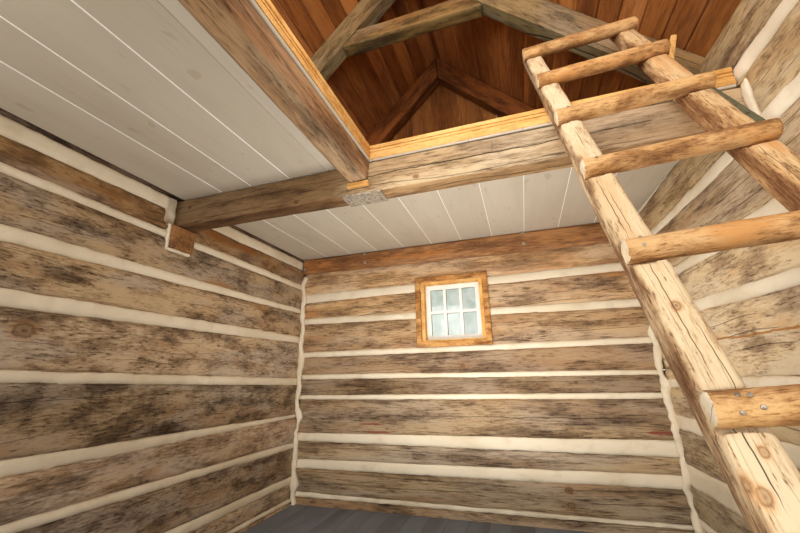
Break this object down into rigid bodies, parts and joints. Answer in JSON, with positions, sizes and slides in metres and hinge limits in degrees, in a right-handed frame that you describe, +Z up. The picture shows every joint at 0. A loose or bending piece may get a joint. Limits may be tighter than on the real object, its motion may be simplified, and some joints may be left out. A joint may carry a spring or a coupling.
{
  "type": "log cabin end bay with loft and pole ladder",
  "caption": "End bay of a hewn log cabin: notched and chinked log walls, a small window, a part loft with a leaning pole ladder, and a boarded gable roof; open at the front.",
  "frame": {"origin": "on the ground, at the centre of the bay's outline", "axes": "+X along the back wall to the right as seen from the open front, +Y from the open front towards the back wall, +Z up"},
  "size_m": [3.652, 3.215, 4.2639],
  "materials": {
    "left_hewn_logs": "weathered hewn logs, tan and grey",
    "right_hewn_logs": "weathered hewn logs, tan",
    "back_hewn_logs": "weathered hewn logs, brown",
    "chinking_mortar": "trowelled lime mortar",
    "floor_paint": "grey-blue painted boards",
    "sleeper_wood": "rough timber",
    "casing_wood": "rough varnished boards",
    "frame_wood": "varnished pine",
    "sash_paint": "white painted wood",
    "window_glass": "clear panes",
    "beam_wood": "hewn beam, brown to grey",
    "ledger_wood": "red-brown board",
    "loft_paint": "pale painted boards",
    "trim_pine": "varnished pine",
    "roof_boards": "red-brown stained boards",
    "rafter_wood": "hewn timber",
    "ladder_pole": "peeled poles with bark left in places",
    "rung_pole": "peeled round poles"
  },
  "bodies": {
    "root": {"back_chinking": "chinking_mortar", "back_ledger": "ledger_wood", "back_log_1": "back_hewn_logs", "back_log_2": "back_hewn_logs", "back_log_3": "back_hewn_logs", "back_log_4": "back_hewn_logs", "back_log_5": "back_hewn_logs", "back_log_6": "back_hewn_logs", "back_log_7": "back_hewn_logs", "back_log_8": "back_hewn_logs", "back_sill_log": "back_hewn_logs", "back_top_log": "back_hewn_logs", "beam_and_corner_mortar": "chinking_mortar", "beam_cleat": "trim_pine", "collar_tie": "rafter_wood", "corbel_block": "trim_pine", "cross_beam": "beam_wood", "floor_boards": "floor_paint", "floor_sleepers": "sleeper_wood", "gable_boards": "roof_boards", "guard_stub": "trim_pine", "ladder_left_rail": "ladder_pole", "ladder_right_rail": "ladder_pole", "ladder_rungs": "rung_pole", "left_chinking": "chinking_mortar", "left_log_1": "left_hewn_logs", "left_log_2": "left_hewn_logs", "left_log_3": "left_hewn_logs", "left_log_4": "left_hewn_logs", "left_log_5": "left_hewn_logs", "left_log_6": "left_hewn_logs", "left_log_7": "left_hewn_logs", "left_log_8": "left_hewn_logs", "left_plate_log": "left_hewn_logs", "left_rafters": "rafter_wood", "left_roof_boards": "roof_boards", "left_sill_log": "left_hewn_logs", "loft_boards": "loft_paint", "loft_edge_trim": "trim_pine", "right_chinking": "chinking_mortar", "right_log_1": "right_hewn_logs", "right_log_2": "right_hewn_logs", "right_log_3": "right_hewn_logs", "right_log_4": "right_hewn_logs", "right_log_5": "right_hewn_logs", "right_log_6": "right_hewn_logs", "right_log_7": "right_hewn_logs", "right_plate_log": "right_hewn_logs", "right_rafters": "rafter_wood", "right_roof_boards": "roof_boards", "right_sill_log": "right_hewn_logs", "trimmer_beam": "beam_wood", "window_casing": "casing_wood", "window_frame": "frame_wood", "window_panes": "window_glass", "window_sash": "sash_paint"}
  },
  "joints": []
}
